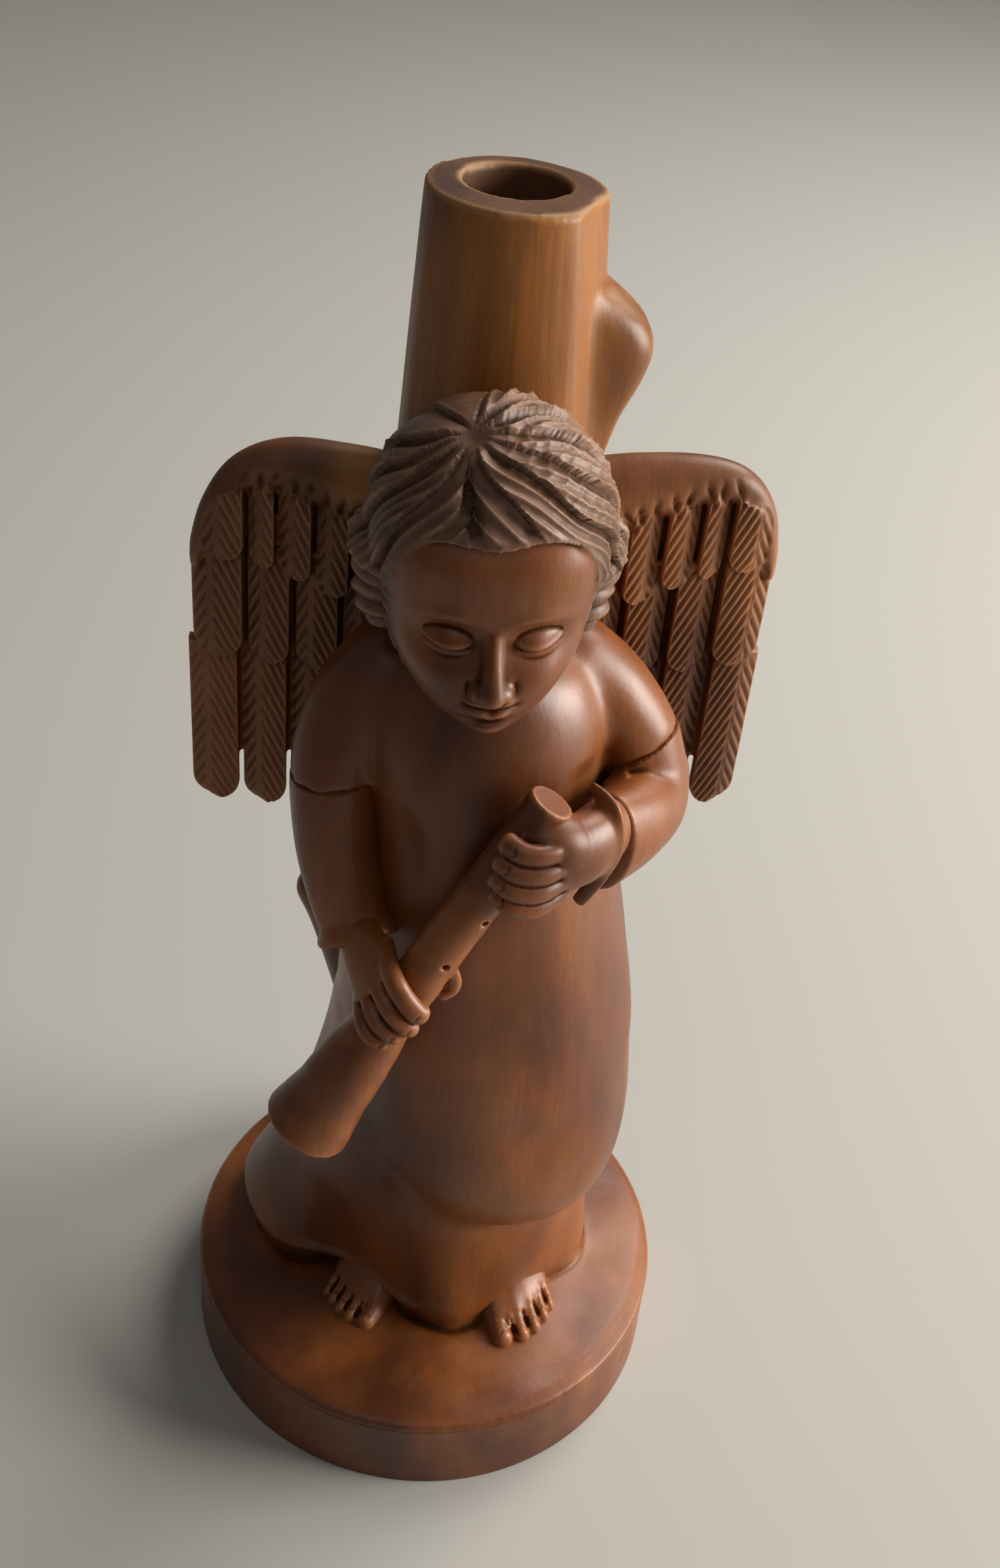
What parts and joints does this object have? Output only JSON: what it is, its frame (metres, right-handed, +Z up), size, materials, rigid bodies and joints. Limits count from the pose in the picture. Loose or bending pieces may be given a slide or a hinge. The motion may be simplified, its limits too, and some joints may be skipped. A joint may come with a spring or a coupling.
{
  "type": "angel candle holder",
  "caption": "Carved wooden angel with a horn on a round plinth, in front of a sawn tree trunk whose bored top holds a table candle.",
  "frame": {"origin": "middle of the plinth's underside, on the floor", "axes": "+Z up, the figure faces -Y, +X is to the right of someone who looks at its face"},
  "size_m": [0.1409, 0.136, 0.3441],
  "materials": {
    "figure_wood": "dark red-brown stain under satin wax",
    "trunk_wood": "golden-brown stain under satin wax",
    "dowel_wood": "bare beech"
  },
  "bodies": {
    "root": {"plinth": "figure_wood", "figure_body": "figure_wood", "tree_trunk": "trunk_wood", "head": "figure_wood", "right_arm_sleeve": "figure_wood", "left_forearm_sleeve": "figure_wood", "right_hand": "figure_wood", "left_hand": "figure_wood", "horn": "figure_wood", "left_wing": "figure_wood", "right_wing": "figure_wood", "left_wing_dowel_lower": "dowel_wood", "left_wing_dowel_upper": "dowel_wood", "right_wing_dowel_lower": "dowel_wood", "right_wing_dowel_upper": "dowel_wood", "base_dowel_right": "dowel_wood", "base_dowel_left": "dowel_wood", "base_dowel_back": "dowel_wood", "trunk_foot_dowel": "dowel_wood", "trunk_back_dowel_lower": "dowel_wood", "trunk_back_dowel_upper": "dowel_wood", "neck_dowel": "dowel_wood", "right_arm_dowel": "dowel_wood", "left_arm_dowel": "dowel_wood", "right_wrist_dowel": "dowel_wood", "left_wrist_dowel": "dowel_wood"}
  },
  "joints": []
}
